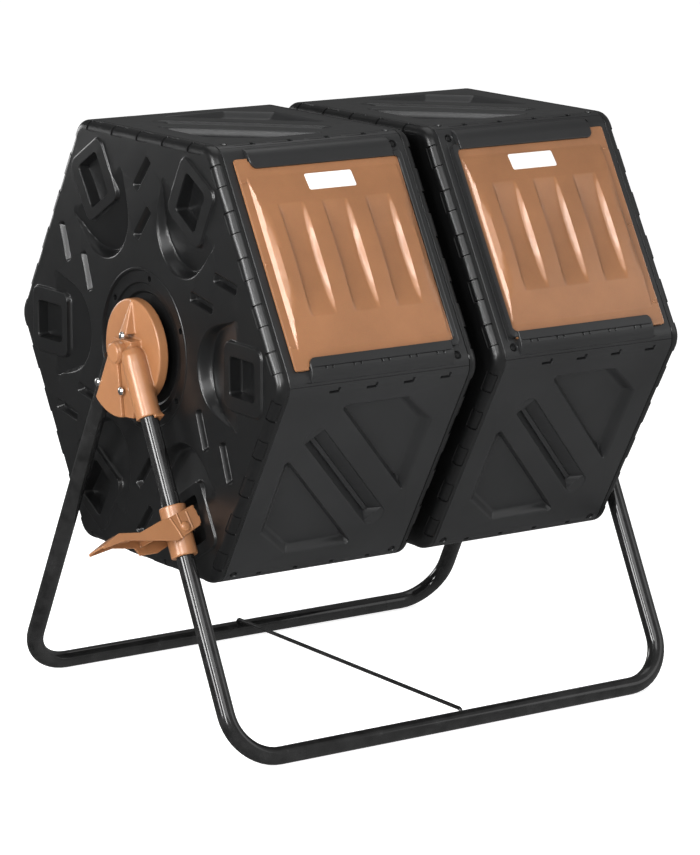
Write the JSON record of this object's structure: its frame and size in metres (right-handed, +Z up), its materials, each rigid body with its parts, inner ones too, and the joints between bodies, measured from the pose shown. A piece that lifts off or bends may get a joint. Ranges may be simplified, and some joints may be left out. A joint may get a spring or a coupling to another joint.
{
  "type": "compost tumbler",
  "caption": "Twin-chamber compost tumbler: a hexagonal drum with sliding doors that turns on a bent-tube stand and locks with a lever latch.",
  "frame": {"origin": "on the floor at the middle of the object's own length and depth, lever included", "axes": "+X along the axle from the latch side to the other side, -Y towards the doors, +Z up"},
  "size_m": [0.7878, 0.6094, 0.737],
  "materials": {
    "drum_plastic": "lightly grained moulded black plastic",
    "copper_plastic": "satin copper-brown plastic with a fine metallic flake",
    "gloss_tube": "gloss black powder coat on steel tube",
    "bright_steel": "zinc plated",
    "label": "blank pale label",
    "bush_plastic": "plain black"
  },
  "bodies": {
    "stand": {"ground_tube_front": "gloss_tube", "ground_tube_back": "gloss_tube", "front_leg_left": "gloss_tube", "back_leg_left": "gloss_tube", "hub_disc_left": "copper_plastic", "rear_leg_plate_left": "copper_plastic", "hub_screw_rear_left": "bright_steel", "hub_screw_front_left": "bright_steel", "hub_screw_top_left": "bright_steel", "axle_retainer_left": "bright_steel", "axle_screw_left": "bright_steel", "front_leg_right": "gloss_tube", "back_leg_right": "gloss_tube", "hub_disc_right": "copper_plastic", "rear_leg_plate_right": "copper_plastic", "hub_screw_rear_right": "bright_steel", "hub_screw_front_right": "bright_steel", "hub_screw_top_right": "bright_steel", "axle_retainer_right": "bright_steel", "axle_screw_right": "bright_steel", "latch_sleeve": "copper_plastic", "latch_pin": "bright_steel"},
    "drum": {"end_panel_outer_left": "drum_plastic", "end_panel_inner_left": "drum_plastic", "door_frame_left": "drum_plastic", "door_rail_upper_left": "drum_plastic", "door_rail_lower_left": "drum_plastic", "axle_bush_left": "bush_plastic", "side_panel_top_left": "drum_plastic", "side_panel_back_upper_left": "drum_plastic", "side_panel_back_lower_left": "drum_plastic", "side_panel_bottom_left": "drum_plastic", "side_panel_front_lower_left": "drum_plastic", "end_panel_outer_right": "drum_plastic", "end_panel_inner_right": "drum_plastic", "door_frame_right": "drum_plastic", "door_rail_upper_right": "drum_plastic", "door_rail_lower_right": "drum_plastic", "axle_bush_right": "bush_plastic", "side_panel_top_right": "drum_plastic", "side_panel_back_upper_right": "drum_plastic", "side_panel_back_lower_right": "drum_plastic", "side_panel_bottom_right": "drum_plastic", "side_panel_front_lower_right": "drum_plastic", "coupling_ring": "drum_plastic", "coupling_bolt_1": "bright_steel", "coupling_bolt_2": "bright_steel", "coupling_bolt_3": "bright_steel"},
    "left_door": {"door_left": "copper_plastic", "door_label_left": "label"},
    "right_door": {"door_right": "copper_plastic", "door_label_right": "label"},
    "latch": {"latch_lever": "copper_plastic"},
    "brace": {"brace_rod": "gloss_tube"}
  },
  "joints": [
    {"name": "drum_spin", "type": "hinge", "parent": "stand", "child": "drum", "pos_m": [0.0506, 0.00075, 0.47], "axis": [1, 0, 0], "continuous": true},
    {"name": "left_door_slide", "type": "slide", "parent": "drum", "child": "left_door", "axis": [-1, 0, 0], "range_m": [0, 0.205]},
    {"name": "right_door_slide", "type": "slide", "parent": "drum", "child": "right_door", "axis": [1, 0, 0], "range_m": [0, 0.205]},
    {"name": "latch_lever_pivot", "type": "hinge", "parent": "stand", "child": "latch", "pos_m": [-0.2769, -0.12214, 0.2699], "axis": [0, 0.8893, -0.4573], "range_deg": [0, 20]},
    {"name": "brace_rod_swing", "type": "hinge", "parent": "stand", "child": "brace", "pos_m": [0.0506, 0.25675, 0.0248], "axis": [-1, 0, 0], "range_deg": [0, 20]}
  ]
}
